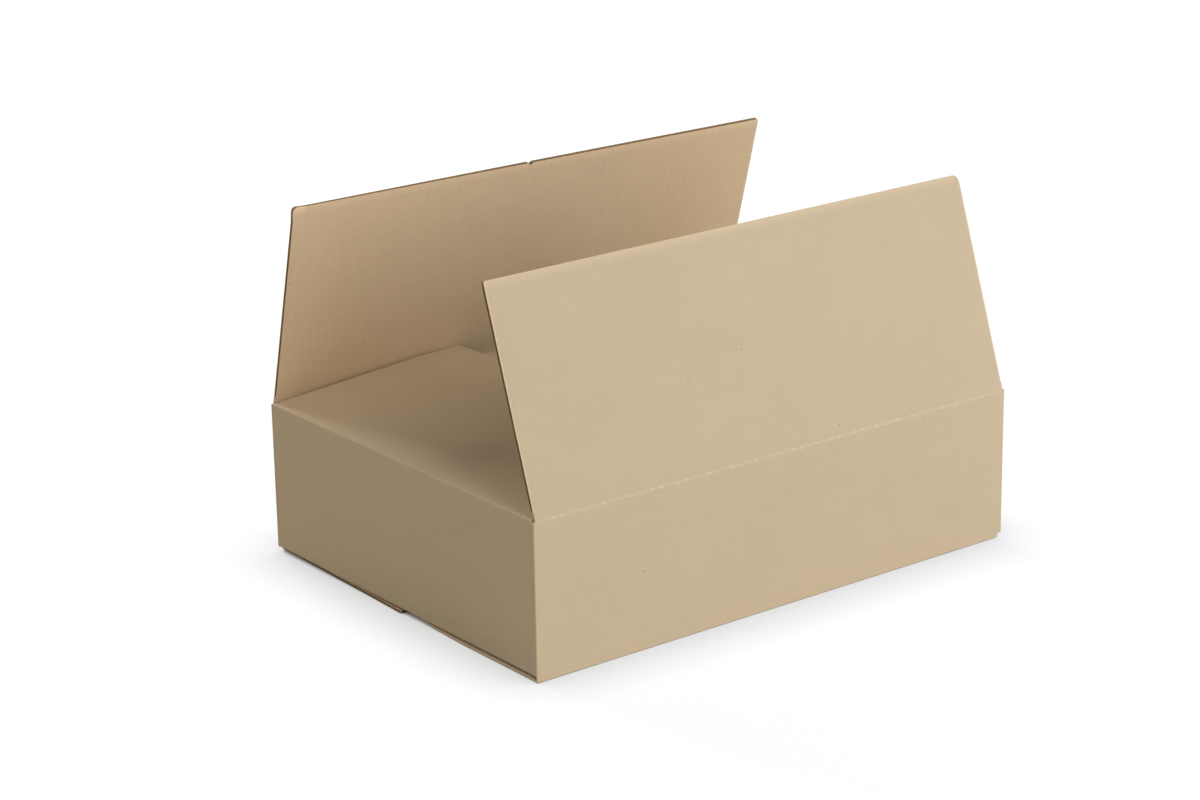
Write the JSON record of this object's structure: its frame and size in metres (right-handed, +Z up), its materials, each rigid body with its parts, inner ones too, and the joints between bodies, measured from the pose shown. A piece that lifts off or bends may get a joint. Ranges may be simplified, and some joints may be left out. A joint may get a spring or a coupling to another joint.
{
  "type": "open corrugated cardboard box",
  "caption": "Low slotted carton of corrugated board: closed bottom, short top flaps folded in, long top flaps hinged at their score lines.",
  "frame": {"origin": "middle of the underside, on the table", "axes": "+X along the long front wall to the right, +Y from the front wall to the back wall, +Z up"},
  "size_m": [0.4, 0.3, 0.2518],
  "materials": {
    "carton_board": "matte",
    "front_flap_board": "matte",
    "back_flap_board": "matte"
  },
  "bodies": {
    "carton": {"carton": "carton_board"},
    "front_top_flap": {"front_top_flap": "front_flap_board"},
    "back_top_flap": {"back_top_flap": "back_flap_board"}
  },
  "joints": [
    {"name": "front_flap_crease", "type": "hinge", "parent": "carton", "child": "front_top_flap", "pos_m": [0, -0.1485, 0.1065], "axis": [1, 0, 0], "range_deg": [-2, 146.5]},
    {"name": "back_flap_crease", "type": "hinge", "parent": "carton", "child": "back_top_flap", "pos_m": [0, 0.1485, 0.1065], "axis": [-1, 0, 0], "range_deg": [-5.5, 142.5]}
  ]
}
